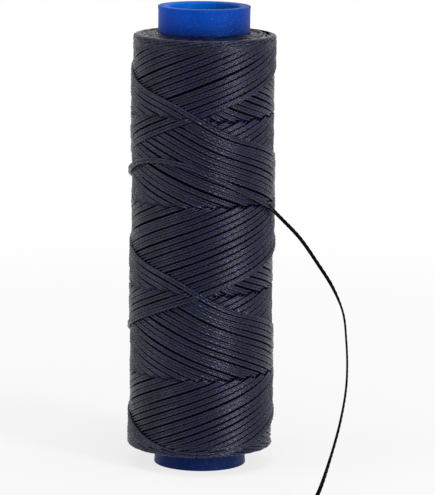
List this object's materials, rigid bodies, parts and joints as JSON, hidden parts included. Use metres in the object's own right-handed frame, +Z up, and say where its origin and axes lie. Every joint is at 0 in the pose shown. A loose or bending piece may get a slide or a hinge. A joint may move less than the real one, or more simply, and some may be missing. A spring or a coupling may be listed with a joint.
{
  "type": "waxed thread spool",
  "caption": "Slim plastic tube core with flat waxed thread cross-wound on it in a straight-sided package and one loose end, for hand sewing leather.",
  "frame": {"origin": "centre of the core tube's lower end face, on the surface that the spool stands on", "axes": "+Z up along the core's axis; -Y faces the camera; +X towards the side where the loose end leaves the package"},
  "size_m": [0.0387, 0.0585, 0.08],
  "materials": {
    "core_plastic": "translucent royal blue plastic, slightly frosted",
    "waxed_thread": "waxed flat braided polyester thread, very dark navy with a soft sheen"
  },
  "bodies": {
    "root": {"core_tube": "core_plastic", "thread_inner_layers": "waxed_thread", "thread_outer_layer": "waxed_thread", "thread_tail": "waxed_thread"}
  },
  "joints": []
}
